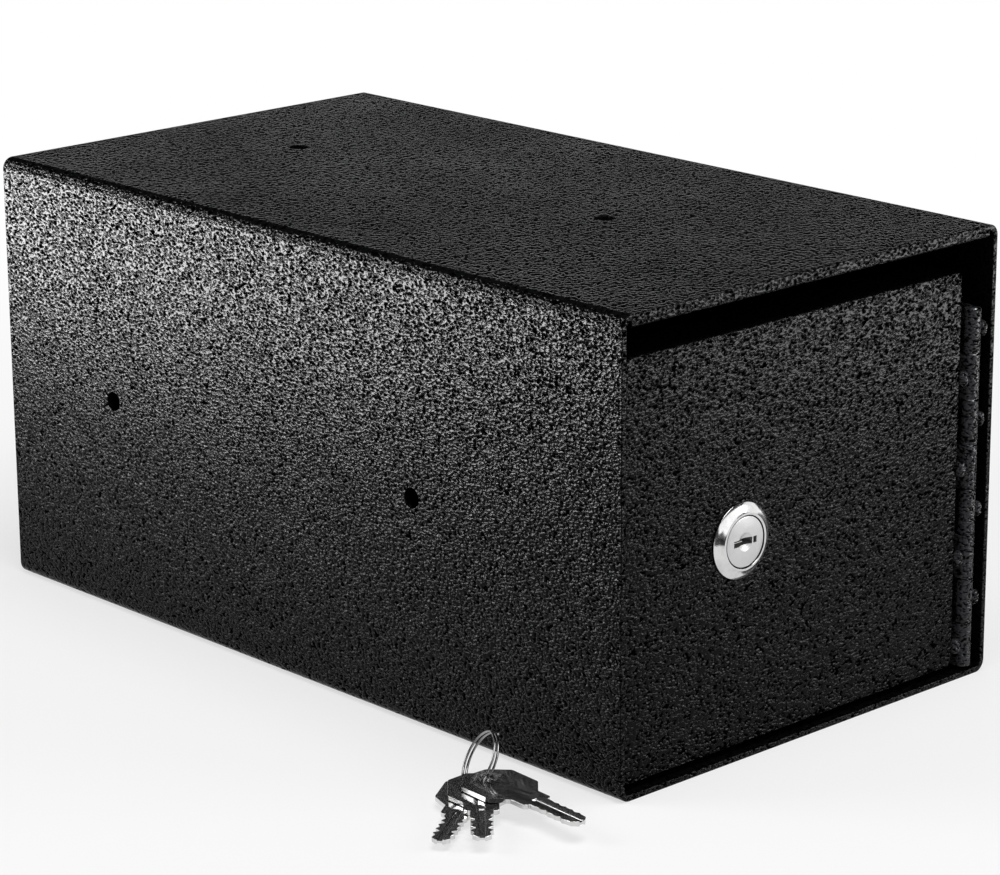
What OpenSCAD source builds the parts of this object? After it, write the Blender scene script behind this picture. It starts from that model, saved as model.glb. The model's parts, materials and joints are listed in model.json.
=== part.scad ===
// Cash drop box: a bent steel sleeve with a drop slot over a hinged door, a cam lock,
// and a split ring of three keys lying beside it.
// Lengths are millimetres. The front faces -Y, up is +Z, and the origin is the middle
// of the underside of the sleeve. Left and right are as seen from the front.

/* [Sleeve] */
// Overall width of the sleeve
box_w = 170; // [150:1:260]
// Overall height of the sleeve
box_h = 152; // [140:1:240]
// Overall depth, front to back
box_d = 305; // [240:1:420]
// Thickness of the bent sheet
sheet_t = 2; // [1.5:0.1:3]
// Outer radius of the four long bends
bend_r = 4; // [3.6:0.1:8]
// Height of the roof's front edge, where the sheet is folded under itself
hem_t = 4.2; // [3.6:0.1:7]
// Depth of the folded part of that edge
hem_len = 12; // [6:0.5:20]
// How far the back panel sits inside the rear rim
back_inset = 1.6; // [0.5:0.1:6]
// Gap left between welded sheets
weld_gap = 0.1; // [0.05:0.05:0.25]

/* [Mounting holes] */
// Diameter of the mounting holes
hole_d = 6.5; // [4:0.1:10]
// Distance from the front rim to the first hole
hole_front = 93; // [70:1:110]
// Distance between the two holes of a row
hole_pitch = 153; // [60:1:160]

/* [Door] */
// Thickness of the door sheet
door_t = 2; // [1.2:0.1:2.4]
// How far the door's face sits behind the front rim
door_recess = 2.5; // [1.5:0.1:5]
// Gap between the door's free edge and the left wall
door_free_gap = 2; // [1.4:0.1:4]
// Gap between the door's hinged edge and the right wall, which the hinge barrel fills
door_hinge_gap = 11.8; // [11:0.1:16]
// Gap between the door and the floor sheet
door_floor_gap = 2; // [1:0.1:6]
// Height of the drop slot between the door and the roof's folded edge
slot_h = 9.8; // [6:0.1:20]
// Outer radius of the door's bent edges
door_bend_r = 2.6; // [2.5:0.1:4]
// Gap between the closed door and its stop
stop_gap = 0.3; // [0.2:0.05:1]

/* [Hinge] */
// Outer diameter of the hinge barrel
barrel_d = 5.6; // [5:0.1:7]
// Diameter of the hinge pin
pin_d = 3.2; // [2:0.1:3.4]
// Radial clearance between the pin and the door's knuckles
pin_clear = 0.05; // [0.02:0.01:0.1]
// Thickness of the hinge leaves
leaf_t = 1; // [0.8:0.1:1.1]
// Length of the hinge leaves behind the barrel
leaf_len = 12; // [7:0.5:16]
// Number of knuckles along the barrel
knuckles = 8; // [4:2:12]
// Gap between neighbouring knuckles
knuckle_gap = 0.3; // [0.2:0.05:0.6]
// Length of the whole barrel
hinge_h = 122; // [80:1:128]
// Gap under the barrel
hinge_floor_gap = 1; // [0.5:0.1:6]
// Radius of the weld beads that hold the barrel
bead_r = 1.9; // [1.6:0.1:2.2]
// Length of those beads
bead_len = 9; // [4:0.5:9]

/* [Lock] */
// Distance from the door's free edge to the lock's axis
lock_edge = 50; // [40:1:60]
// Height of the lock's axis above the door's lower edge
lock_up = 67; // [62:1:72]
// Depth of the lock body behind the door's face
lock_depth = 20; // [18:0.5:24]
// Diameter of the bezel where it meets the door
bezel_d = 23.6; // [22.5:0.1:28]
// Diameter of the bezel's flat front ring
bezel_front_d = 17.4; // [16.8:0.1:19]
// How far the bezel stands out
bezel_h = 2.3; // [1.6:0.1:4]
// Outer diameter of the threaded body
thread_d = 19; // [18:0.1:20]
// Width across the two flats of the threaded body
flats_w = 16; // [15.5:0.1:17]
// Diameter of the plug's face
plug_face_d = 15.6; // [14:0.1:16]
// Diameter of the plug's shank
plug_d = 12.6; // [12:0.1:13]
// Radial clearance between the plug and the lock body
plug_clear = 0.06; // [0.03:0.01:0.1]
// Width of the keyway across the plug's face
keyway_w = 9.8; // [8.6:0.1:11]
// Height of the keyway across the plug's face
keyway_h = 2.3; // [2:0.1:3]
// Number of wafers in the plug
wafers = 5; // [3:1:6]
// Width across the lock nut's flats
nut_w = 24; // [22:0.5:27]
// Thickness of the lock nut
nut_t = 5; // [3:0.5:7]

/* [Cam and strike] */
// Thickness of the cam
cam_t = 2.5; // [1.5:0.1:3]
// Width of the cam
cam_w = 16; // [14:0.5:20]
// How far the cam reaches behind the strike
cam_overlap = 9; // [4:0.5:11]
// Gap between the turned cam and the strike
cam_gap = 0.6; // [0.4:0.1:1]
// Thickness of the washer that stops the plug's turn
stop_washer_t = 1; // [0.6:0.1:1.5]
// Thickness of the strike
strike_t = 2.5; // [1.5:0.1:3]
// How far the strike stands in from the left wall
strike_reach = 16; // [14:0.5:20]
// Height of the strike
strike_h = 42; // [30:1:60]
// Length of the strike along the wall
strike_len = 24; // [14:1:40]

/* [Baffle] */
// Thickness of the anti-fishing plate
baffle_t = 1.5; // [1:0.1:2.5]
// How far the plate reaches back from behind the door
baffle_len = 56; // [35:1:80]
// How far the plate's front edge lies under the door's top edge
baffle_drop = 3; // [1:0.5:8]
// Fall of the plate from front to back
baffle_fall = 12; // [4:1:20]
// Height of the plate's bent side flanges
baffle_flange = 10; // [6:0.5:14]
// Width of one tooth along the plate's rear edge
tooth_w = 8; // [5:0.5:16]
// Height of those teeth
tooth_h = 6; // [3:0.5:9]

/* [Keys] */
// Thickness of a key
key_t = 1.5; // [1.2:0.1:1.7]
// Width of the bow
bow_w = 20.4; // [17:0.1:26]
// Length of the bow
bow_len = 23.6; // [21:0.1:28]
// Diameter of the hole in the bow
bow_hole_d = 5.8; // [5.4:0.1:7]
// Distance from that hole's centre to the bow's rear edge
bow_rear = 6.1; // [5:0.1:7]
// Width of the neck between bow and blade
neck_w = 10.6; // [9:0.1:12]
// Length of that neck
neck_len = 6.4; // [4:0.1:9]
// Length of the blade
blade_len = 19.8; // [16:0.1:20.5]
// Width of the blade
blade_w = 7; // [6.2:0.1:7.2]
// Depths of the cuts along the blade, from neck to tip
cut_depths = [0.5, 1.1, 0.6, 1.3, 0.8];
// Gap between keys that lie on each other
key_gap = 0.25; // [0.2:0.05:0.6]
// Directions in which the three blades point, top key first
key_turns = [266.4, 227.5, 212.5];
// How far each hole lies forward of the ring, top key first
key_shifts = [1.1, -1.1, -0.5];
// Distance from the box's middle plane to the top key's hole
keys_x = -111.5; // [-230:0.5:-100]
// Distance from the front rim back to the top key's hole
keys_back = 30.2; // [0:0.1:60]

/* [Key ring] */
// Mean diameter of the split ring
ring_d = 19; // [17:0.1:24]
// Diameter of the ring's wire
wire_d = 0.8; // [0.6:0.05:0.9]
// Distance between the ring's two turns
ring_pitch = 1.25; // [1.25:0.05:1.4]
// Turn of the ring about the vertical
ring_yaw = 66; // [40:1:90]
// Tilt of the ring's plane, where 90 is upright
ring_tilt = 118; // [112:1:122]
// Height of the lowest key above the surface
stack_lift = 2.3; // [2.3:0.1:3]

/* [Hidden] */
$fn = 48;
eps = 0.01;

coat_black = "#26272a";
zinc = "#aeb3b8";
nickel = "#c9ccd0";
brass = "#c8a45a";

// inside faces of the sleeve and planes of the front
wall_in = box_w / 2 - sheet_t;
roof_in = box_h - sheet_t;
front_y = -box_d / 2;
inner_bend_r = bend_r - sheet_t;
hole_mid_y = front_y + hole_front + hole_pitch / 2;

// door edges, with its returns as deep as the cam's way behind the strike asks for
door_left = -wall_in + door_free_gap;
door_right = wall_in - door_hinge_gap;
door_low = sheet_t + door_floor_gap;
door_high = box_h - hem_t - slot_h;
door_w = door_right - door_left;
door_h = door_high - door_low;
door_y = front_y + door_recess;
door_depth = lock_depth + stop_washer_t - cam_gap - strike_t - stop_gap;
door_back = door_y + door_depth;

// hinge axis, in the middle of the gap between door and wall
hinge_x = wall_in - door_hinge_gap / 2;
hinge_y = front_y + barrel_d / 2;
hinge_low = sheet_t + hinge_floor_gap;
knuckle_pitch = hinge_h / knuckles;
barrel_r = barrel_d / 2;
leaf_clear = 0.4;

// lock axis and the planes along it, counted outwards from the door's face
lock_x = door_left + lock_edge;
lock_z = door_low + lock_up;
thread_r = thread_d / 2;
fit_gap = 0.1;
lock_washer_t = 1;
lock_washer_d = nut_w + 2;
plug_sink = 0.15;
plug_head_low = 0.3;
square_w = 8;
cam_front = -lock_depth - stop_washer_t;
cam_back = cam_front - cam_t;
turn_gap = 0.05;
stop_washer_r = 7.4;
stop_tab_w = 4;
screw_r = 2;
screw_hole_len = 5;
screw_len = screw_hole_len - 0.6;
screw_head_w = 7;
screw_head_t = 2.8;
cam_washer_r = 6.5;
cam_washer_t = 0.8;
keyway_in_w = blade_w + 0.4;
keyway_in_h = key_t + 0.4;
keyway_low = bezel_h - plug_sink - blade_len - 0.4;
keyway_face = 1;
recess_r = 2.9;
recess_depth = 0.7;

// wafers, spread between the plug's head and the end of the keyway
wafer_t = 0.9;
wafer_slot_t = wafer_t + 0.2;
wafer_slot_w = 6;
wafer_w = wafer_slot_w - 0.1;
wafer_half = plug_d / 2 - 0.2;
wafer_first = -2;
wafer_pitch = (wafer_first - keyway_low - 2) / (wafers - 1);
spring_d = 0.8;
lug_w = 0.9;
lug_h = 1.2;
pocket_half = 2.4;

// strike and cam
strike_y = door_back + stop_gap;
strike_end_x = -wall_in + strike_reach;
cam_reach = lock_x - strike_end_x + cam_overlap;

// baffle, as a slope from behind the door
baffle_y = door_back + 3.5;
baffle_z = door_high - baffle_drop;
baffle_half = wall_in - weld_gap;
teeth = floor(2 * (baffle_half - baffle_t) / tooth_w);
inner_bead_r = 1.5;

// split ring, with the lowest point of its wire just over the surface
ring_r = ring_d / 2;
ring_steps = 26;
ring_sides = 8;
ring_turns = 2;
ring_low = wire_d / 2 + 0.05 + ring_pitch / 2 * abs(cos(ring_tilt));
ring_z = ring_low + ring_r * sin(ring_tilt);
ring_across = [cos(ring_yaw), sin(ring_yaw)];
ring_lean = [-sin(ring_yaw) * cos(ring_tilt), cos(ring_yaw) * cos(ring_tilt)];

// keys, top key first
function key_low(k) = stack_lift + (2 - k) * (key_t + key_gap);
function rise(z) = (z - ring_low) / sin(ring_tilt);
function half_chord(z) = sqrt(pow(ring_r, 2) - pow(ring_r - rise(z), 2));

// from the ring's centre to a key's hole
function to_hole(k) =
    let (z = key_low(k) + key_t / 2)
    (rise(z) - ring_r) * ring_lean - (half_chord(z) + key_shifts[k]) * ring_across;

ring_centre = [keys_x, front_y + keys_back] - to_hole(0);

// centre and length of one knuckle, counted from the top
function knuckle_z(i) = hinge_low + hinge_h - (i + 0.5) * knuckle_pitch;
knuckle_len = knuckle_pitch - knuckle_gap;

// rectangle with rounded corners, centred
module round_rect(w, h, r) {
    square([w - 2 * r, h], center = true);
    square([w, h - 2 * r], center = true);
    for (sx = [-1, 1], sy = [-1, 1])
        translate([sx * (w / 2 - r), sy * (h / 2 - r)]) circle(r);
}

// upright capsule, centred
module capsule(len, r) {
    cylinder(h = len - 2 * r, r = r, center = true);
    for (s = [-1, 1])
        translate([0, 0, s * (len / 2 - r)]) sphere(r, $fn = 24);
}

// places a profile drawn in X and Z and extrudes it towards the front from y
module along_y(y, len) {
    translate([0, y, 0]) rotate([90, 0, 0]) linear_extrude(len) children();
}

// places a profile drawn in Y and Z and extrudes it to the right from x
module along_x(x, len) {
    translate([x, 0, 0]) rotate([90, 0, 90]) linear_extrude(len) children();
}

// two mounting holes in a row along Y, through the sheet at z = 0
module hole_row() {
    for (y = [-hole_pitch / 2, hole_pitch / 2])
        translate([0, hole_mid_y + y, 0]) cylinder(h = 4 * sheet_t, d = hole_d, center = true);
}

// bent sleeve, open at the front, with holes in the roof and both walls
module box_sleeve() {
    hem_r = 1;
    hem_half = box_w / 2 - bend_r;
    color(coat_black) difference() {
        union() {
            along_y(box_d / 2, box_d) translate([0, box_h / 2]) difference() {
                round_rect(box_w, box_h, bend_r);
                round_rect(box_w - 2 * sheet_t, box_h - 2 * sheet_t, inner_bend_r);
            }
            along_x(-hem_half, 2 * hem_half) translate([front_y, box_h - hem_t]) {
                translate([hem_r, 0]) square([hem_len - hem_r, hem_t - sheet_t / 2]);
                translate([0, hem_r]) square([hem_len, hem_t - sheet_t / 2 - hem_r]);
                translate([hem_r, hem_r]) circle(hem_r);
            }
        }
        translate([0, 0, roof_in]) hole_row();
        for (s = [-1, 1])
            translate([s * wall_in, 0, box_h / 2]) rotate([0, 90, 0]) hole_row();
    }
}

// flat rear panel, set in from the rim
module back_panel() {
    color(coat_black)
        along_y(box_d / 2 - back_inset, sheet_t) translate([0, box_h / 2])
            round_rect(box_w - 2 * (sheet_t + weld_gap), box_h - 2 * (sheet_t + weld_gap), inner_bend_r);
}

// quarter-round bead along Z, in the corner between +X and +Y
module corner_bead(len, r) {
    intersection() {
        capsule(len, r);
        translate([0, 0, -len / 2]) cube([r, r, len]);
    }
}

// stitch welds between the back panel and the rim
module back_weld_beads() {
    r = 1.4;
    len = 16;
    y = box_d / 2 - back_inset;
    color(coat_black) {
        for (s = [0, 1], z = [0.2, 0.5, 0.8])
            mirror([s, 0, 0]) translate([-wall_in, y, z * box_h]) corner_bead(len, r);
        for (s = [0, 1], x = [-0.3, 0, 0.3])
            translate([x * box_w, y, s == 0 ? sheet_t : roof_in])
                mirror([0, 0, s]) rotate([0, 90, 0]) mirror([1, 0, 0]) corner_bead(len, r);
    }
}

// sloping plate under the slot, with bent sides and a toothed rear edge
module baffle_plate() {
    y2 = baffle_y + baffle_len;
    z2 = baffle_z - baffle_fall;
    slope = [[baffle_y, baffle_z], [y2, z2], [y2, z2 - baffle_t], [baffle_y, baffle_z - baffle_t]];
    side = [[baffle_y, baffle_z], [y2, z2], [y2, z2 - baffle_flange], [baffle_y, baffle_z - baffle_flange]];
    gap = 0.5;
    tip = 0.6;
    root = baffle_t / 2;
    color(coat_black) {
        along_x(-baffle_half, 2 * baffle_half) polygon(slope);
        for (s = [0, 1])
            mirror([s, 0, 0]) along_x(-baffle_half, baffle_t) polygon(side);
        translate([-teeth * tooth_w / 2, 0, z2 - baffle_t]) along_y(y2, baffle_t)
            for (i = [0:teeth - 1])
                translate([(i + 0.5) * tooth_w, 0])
                    polygon([[gap - tooth_w / 2, root], [tooth_w / 2 - gap, root], [tip, -tooth_h], [-tip, -tooth_h]]);
    }
}

// angle on the left wall that the cam turns behind and the door closes against
module strike_bracket() {
    color(zinc) translate([-wall_in + weld_gap, strike_y, lock_z - strike_h / 2]) {
        cube([strike_t, strike_len, strike_h]);
        cube([strike_reach - weld_gap, strike_t, strike_h]);
    }
}

// beads that hold the strike and the baffle to the walls
module inner_weld_beads() {
    r = inner_bead_r;
    color(coat_black) {
        for (s = [-1, 1])
            translate([-wall_in, strike_y + strike_len, lock_z + s * strike_h / 4])
                corner_bead(strike_h / 4, r);
        for (s = [0, 1], t = [0.25, 0.75])
            mirror([s, 0, 0]) translate([-wall_in, baffle_y + t * baffle_len,
                baffle_z - t * baffle_fall - baffle_flange])
                rotate([-atan2(baffle_fall, baffle_len), 0, 0]) rotate([90, 0, 0]) mirror([0, 1, 0])
                    corner_bead(12, r);
    }
}

// one hinge leaf with its knuckles: side is 1 for the wall's leaf and -1 for the door's
module hinge_leaf(side, first) {
    low = side > 0 ? barrel_r - leaf_t : -barrel_r;
    translate([hinge_x, hinge_y, 0]) difference() {
        union() {
            for (i = [first:2:knuckles - 1])
                translate([0, 0, knuckle_z(i)]) cylinder(h = knuckle_len, r = barrel_r, center = true);
            translate([low, barrel_r + leaf_clear, hinge_low])
                cube([leaf_t, leaf_len - barrel_r - leaf_clear, hinge_h]);
            for (i = [first:2:knuckles - 1])
                translate([low, 0, knuckle_z(i) - knuckle_len / 2]) cube([leaf_t, leaf_len / 2, knuckle_len]);
        }
        translate([0, 0, hinge_low - 1]) cylinder(h = hinge_h + 2, r = pin_d / 2 + pin_clear);
    }
}

module wall_hinge_leaf() {
    color(coat_black) hinge_leaf(1, 0);
}

module door_hinge_leaf() {
    color(coat_black) hinge_leaf(-1, 1);
}

// hinge pin through all knuckles
module hinge_pin() {
    color(zinc) translate([hinge_x, hinge_y, hinge_low]) cylinder(h = hinge_h, d = pin_d);
}

// weld beads between every second knuckle and the sheet at plane x, drawn on one side
module hinge_beads(side, first) {
    reach = door_hinge_gap / 2;
    mid = (reach + barrel_r) / 2;
    for (i = [first:2:knuckles - 1])
        translate([hinge_x, hinge_y, knuckle_z(i)]) difference() {
            intersection() {
                translate([side * mid, -0.4, 0]) capsule(bead_len, bead_r);
                translate([side > 0 ? 0 : -reach, -barrel_d, -bead_len])
                    cube([reach, 2 * barrel_d, 2 * bead_len]);
            }
            cylinder(h = 2 * bead_len, r = barrel_r, center = true);
            translate([-barrel_r, 0, -bead_len]) cube([barrel_d, barrel_r, 2 * bead_len]);
        }
}

module wall_weld_beads() {
    color(coat_black) hinge_beads(1, 0);
}

module door_weld_beads() {
    color(coat_black) hinge_beads(-1, 1);
}

// puts its children on the lock's axis, with +Z out of the door and +Y up
module at_lock() {
    translate([lock_x, door_y, lock_z]) rotate([90, 0, 0]) children();
}

// outline of the threaded body, or of the hole it sits in
module two_flats(grow) {
    intersection() {
        circle(thread_r + grow);
        square([flats_w + 2 * grow, thread_d + 4], center = true);
    }
}

// door pan: a face with four bent returns
module door_panel() {
    mid = [(door_left + door_right) / 2, (door_low + door_high) / 2];
    color(coat_black) difference() {
        union() {
            along_y(door_back, door_depth) translate(mid) difference() {
                round_rect(door_w, door_h, door_bend_r);
                round_rect(door_w - 2 * door_t, door_h - 2 * door_t, door_bend_r - door_t);
            }
            along_y(door_y + door_t, door_t) translate(mid) round_rect(door_w, door_h, door_bend_r);
        }
        at_lock() translate([0, 0, -door_t - 1]) linear_extrude(door_t + 2) two_flats(fit_gap);
    }
}

// rim on the body's rear end, open over the quarter turn of the washer's tab
module stop_lug() {
    low = -stop_tab_w / 2 - 0.2;
    translate([0, 0, cam_front + 0.1]) linear_extrude(stop_washer_t) difference() {
        two_flats(0);
        circle(stop_washer_r + 0.2);
        translate([low, low]) square(thread_d);
    }
}

// bezel and threaded body of the lock
module lock_body() {
    rim = 0.5;
    seat = plug_head_low - plug_clear;
    profile = [[0, 0], [bezel_d / 2, 0], [bezel_d / 2, rim], [bezel_front_d / 2, bezel_h], [0, bezel_h]];
    color(nickel) at_lock() difference() {
        union() {
            rotate_extrude() polygon(profile);
            translate([0, 0, -lock_depth]) linear_extrude(lock_depth + eps) two_flats(0);
            stop_lug();
        }
        translate([0, 0, seat]) cylinder(h = bezel_h, r = plug_face_d / 2 + plug_clear);
        translate([0, 0, -lock_depth - 1]) cylinder(h = lock_depth + bezel_h, r = plug_d / 2 + plug_clear);
    }
}

// spring washer between the door and the nut
module lock_washer() {
    color(zinc) at_lock() translate([0, 0, -door_t - lock_washer_t]) difference() {
        cylinder(h = lock_washer_t, d = lock_washer_d);
        translate([0, 0, -1]) cylinder(h = lock_washer_t + 2, r = thread_r + fit_gap);
    }
}

// hexagon nut on the lock's thread
module lock_nut() {
    color(zinc) at_lock() translate([0, 0, -door_t - lock_washer_t - nut_t]) difference() {
        cylinder(h = nut_t, d = nut_w / cos(30), $fn = 6);
        translate([0, 0, -1]) cylinder(h = nut_t + 2, r = thread_r + fit_gap / 2);
    }
}

// height of a wafer along the lock's axis
function wafer_z(i) = wafer_first - i * wafer_pitch;

// turning plug with its keyway, its slots for the wafers and its square end
module lock_plug() {
    face = bezel_h - plug_sink;
    color(nickel) at_lock() difference() {
        union() {
            translate([0, 0, plug_head_low]) cylinder(h = face - plug_head_low, d = plug_face_d);
            translate([0, 0, -lock_depth]) cylinder(h = lock_depth + plug_head_low + eps, d = plug_d);
            translate([-square_w / 2, -square_w / 2, cam_back])
                cube([square_w, square_w, -lock_depth - cam_back + eps]);
        }
        translate([-keyway_w / 2, -keyway_h / 2, face - keyway_face]) cube([keyway_w, keyway_h, 2]);
        translate([-keyway_in_w / 2, -keyway_in_h / 2, keyway_low])
            cube([keyway_in_w, keyway_in_h, face - keyway_low]);
        translate([0, 0, face - recess_depth]) cylinder(h = 2, r = recess_r);
        translate([0, 0, cam_back - 1]) cylinder(h = screw_hole_len + 1, r = screw_r);
        for (i = [0:wafers - 1])
            translate([0, 0, wafer_z(i)]) {
                cube([plug_face_d, wafer_slot_w, wafer_slot_t], center = true);
                translate([0, wafer_slot_w / 2 + lug_h / 2, 0])
                    cube([2 * pocket_half, lug_h + 0.2, wafer_slot_t], center = true);
            }
    }
}

// flat wafers, each with a window for the blade and a lug for its spring
module lock_wafers() {
    color(brass) at_lock() for (i = [0:wafers - 1])
        translate([0, 0, wafer_z(i)]) {
            difference() {
                intersection() {
                    cylinder(h = wafer_t, r = wafer_half, center = true);
                    cube([plug_d, wafer_w, wafer_t], center = true);
                }
                cube([keyway_in_w + 0.4, keyway_in_h + 0.4, 2 * wafer_t], center = true);
            }
            translate([pocket_half - lug_w / 2 - 0.1, wafer_w / 2 + lug_h / 2 - eps, 0])
                cube([lug_w, lug_h, wafer_t], center = true);
        }
}

// small springs that push the wafers, drawn at their outer size
module wafer_springs() {
    low = -pocket_half + 0.1;
    high = pocket_half - lug_w - 0.2;
    color(zinc) at_lock() for (i = [0:wafers - 1])
        translate([low, wafer_slot_w / 2 + lug_h / 2, wafer_z(i)]) rotate([0, 90, 0])
            cylinder(h = high - low, d = spring_d, $fn = 16);
}

// washer with a tab that limits the plug's turn
module stop_washer() {
    color(zinc) at_lock() translate([0, 0, cam_front]) difference() {
        union() {
            cylinder(h = stop_washer_t - turn_gap, r = stop_washer_r);
            translate([-stop_tab_w / 2, 0, 0]) cube([stop_tab_w, thread_r - 0.2, stop_washer_t - turn_gap]);
        }
        translate([-square_w / 2 - fit_gap, -square_w / 2 - fit_gap, -1])
            cube([square_w + 2 * fit_gap, square_w + 2 * fit_gap, stop_washer_t + 2]);
    }
}

// flat cam, pointing down while the door is unlocked
module cam() {
    end_r = 3;
    color(zinc) at_lock() translate([0, 0, cam_back]) difference() {
        linear_extrude(cam_t - turn_gap) {
            circle(d = cam_w);
            translate([-cam_w / 2, -cam_reach + end_r]) square([cam_w, cam_reach - end_r]);
            translate([-cam_w / 2 + end_r, -cam_reach]) square([cam_w - 2 * end_r, end_r + eps]);
            for (s = [-1, 1])
                translate([s * (cam_w / 2 - end_r), -cam_reach + end_r]) circle(end_r);
        }
        translate([-square_w / 2 - fit_gap, -square_w / 2 - fit_gap, -1])
            cube([square_w + 2 * fit_gap, square_w + 2 * fit_gap, cam_t + 2]);
    }
}

// washer under the cam's screw
module cam_washer() {
    color(zinc) at_lock() translate([0, 0, cam_back - cam_washer_t]) difference() {
        cylinder(h = cam_washer_t, r = cam_washer_r);
        translate([0, 0, -1]) cylinder(h = cam_washer_t + 2, r = screw_r + fit_gap);
    }
}

// hexagon screw that holds the cam on the plug
module cam_screw() {
    color(zinc) at_lock() translate([0, 0, cam_back - cam_washer_t - screw_head_t]) {
        cylinder(h = screw_head_t, d = screw_head_w / cos(30), $fn = 6);
        cylinder(h = screw_head_t + cam_washer_t + screw_len, r = screw_r - 0.03);
    }
}

// key outline, as distances from the hole's centre, from the bow's rear edge to the tip
bow_front = bow_len - bow_rear;
neck_end = bow_front + neck_len;
blade_tip = neck_end + blade_len;
bow_rear_half = 4.5;
bow_corner_x = -0.6;
bow_slant = (bow_w - neck_w) / 2 + 1;
cut_start = neck_end + 2;
cut_pitch = (blade_len - 4) / len(cut_depths);
cuts = [for (i = [0:len(cut_depths) - 1]) each [
    [cut_start + i * cut_pitch, blade_w / 2],
    [cut_start + (i + 0.35) * cut_pitch, blade_w / 2 - cut_depths[i]],
    [cut_start + (i + 0.65) * cut_pitch, blade_w / 2 - cut_depths[i]]]];
key_half = concat(
    [[-bow_rear, bow_rear_half], [bow_corner_x, bow_w / 2], [bow_front - bow_slant, bow_w / 2]],
    [[bow_front, neck_w / 2], [neck_end - 1, neck_w / 2], [neck_end, neck_w / 2 - 1]],
    [[neck_end, blade_w / 2]],
    cuts,
    [[blade_tip - 1.6, blade_w / 2 - 0.6], [blade_tip, 1]]);
function mirrored(list) = [for (i = [len(list) - 1:-1:0]) [list[i][0], -list[i][1]]];

// one key, with its hole at the origin and its blade along +X, grooved on both faces
module key() {
    groove_w = 1.5;
    groove_depth = 0.35;
    cutter = 2;
    difference() {
        linear_extrude(key_t) polygon(concat(key_half, mirrored(key_half)));
        translate([0, 0, -1]) cylinder(h = key_t + 2, d = bow_hole_d);
        for (z = [groove_depth - cutter, key_t - groove_depth])
            translate([neck_end - 2, -groove_w / 2, z]) cube([blade_len + 4, groove_w, cutter]);
    }
}

// places key k in the stack
module placed_key(k) {
    hole = ring_centre + to_hole(k);
    color(nickel) translate([hole[0], hole[1], key_low(k)]) rotate([0, 0, key_turns[k]]) key();
}

module key_1() {
    placed_key(0);
}

module key_2() {
    placed_key(1);
}

module key_3() {
    placed_key(2);
}

// centre line of the split ring, in its own plane, from its top
function ring_angle(i) = 90 + 360 * i / ring_steps;
function ring_rise(i) = ring_pitch * (i / ring_steps - ring_turns / 2);
function ring_point(i) = [ring_r * cos(ring_angle(i)), ring_r * sin(ring_angle(i)), ring_rise(i)];

// wire of two turns, swept along that line
module key_ring() {
    last = ring_turns * ring_steps;
    n = ring_sides;
    points = [for (i = [0:last], j = [0:n - 1])
        let (a = ring_angle(i), b = 360 * j / n, r = ring_r + wire_d / 2 * cos(b))
        [r * cos(a), r * sin(a), ring_rise(i) + wire_d / 2 * sin(b)]];
    sides = [for (i = [0:last - 1], j = [0:n - 1])
        let (k = (j + 1) % n)
        each [[i * n + j, i * n + k, (i + 1) * n + k], [i * n + j, (i + 1) * n + k, (i + 1) * n + j]]];
    caps = [for (j = [1:n - 2]) each [[0, j + 1, j], [last * n, last * n + j, last * n + j + 1]]];
    gap = min([for (i = [0:ring_steps]) norm(ring_point(i) - ring_point(i + ring_steps)) - wire_d]);
    echo(least_gap_between_ring_turns = gap);
    color(nickel) translate([ring_centre[0], ring_centre[1], ring_z]) rotate([0, 0, ring_yaw])
        rotate([ring_tilt, 0, 0]) polyhedron(points, concat(sides, caps));
}

box_sleeve();
back_panel();
back_weld_beads();
baffle_plate();
strike_bracket();
inner_weld_beads();
wall_hinge_leaf();
hinge_pin();
wall_weld_beads();
door_panel();
door_hinge_leaf();
door_weld_beads();
lock_body();
lock_washer();
lock_nut();
lock_plug();
lock_wafers();
wafer_springs();
stop_washer();
cam();
cam_washer();
cam_screw();
key_ring();
key_1();
key_2();
key_3();
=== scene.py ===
import json
import math

import bmesh
import bpy
from mathutils import Matrix, Vector, noise

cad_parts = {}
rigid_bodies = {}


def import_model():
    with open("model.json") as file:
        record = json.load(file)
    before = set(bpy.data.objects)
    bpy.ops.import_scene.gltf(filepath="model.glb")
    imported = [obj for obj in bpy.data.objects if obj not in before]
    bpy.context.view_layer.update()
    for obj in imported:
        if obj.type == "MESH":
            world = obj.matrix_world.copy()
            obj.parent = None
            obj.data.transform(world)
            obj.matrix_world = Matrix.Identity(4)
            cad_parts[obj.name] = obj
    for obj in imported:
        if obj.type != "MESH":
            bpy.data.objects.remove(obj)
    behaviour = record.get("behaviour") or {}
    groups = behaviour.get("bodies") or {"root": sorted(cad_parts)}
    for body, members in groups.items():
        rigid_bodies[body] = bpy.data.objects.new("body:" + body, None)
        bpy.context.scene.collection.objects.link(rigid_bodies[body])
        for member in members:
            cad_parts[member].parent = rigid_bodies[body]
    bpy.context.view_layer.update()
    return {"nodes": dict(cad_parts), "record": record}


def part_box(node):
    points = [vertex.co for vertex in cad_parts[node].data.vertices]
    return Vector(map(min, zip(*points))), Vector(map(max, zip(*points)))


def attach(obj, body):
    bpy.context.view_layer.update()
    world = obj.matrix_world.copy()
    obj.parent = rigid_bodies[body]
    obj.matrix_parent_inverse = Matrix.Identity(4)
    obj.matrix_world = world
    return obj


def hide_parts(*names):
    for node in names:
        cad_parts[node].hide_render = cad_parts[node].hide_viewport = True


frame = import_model()
nodes = frame["nodes"]
bodyOf = {n: body for body, names in frame["record"]["behaviour"]["bodies"].items() for n in names}
mm = 0.001
print("frame loaded:", len(nodes), "nodes")


# camera, at the angle the picture was taken from
cameraSettings = {
    "azimuth": 43.034,
    "elevation": 16.573,
    "roll": -0.339,
    "position": (-0.81343, -0.88056, 0.42213),
    "lens": 132.18,
    "sensor": 36,
    "nearest": 0.05,
    "furthest": 50,
}


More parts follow.
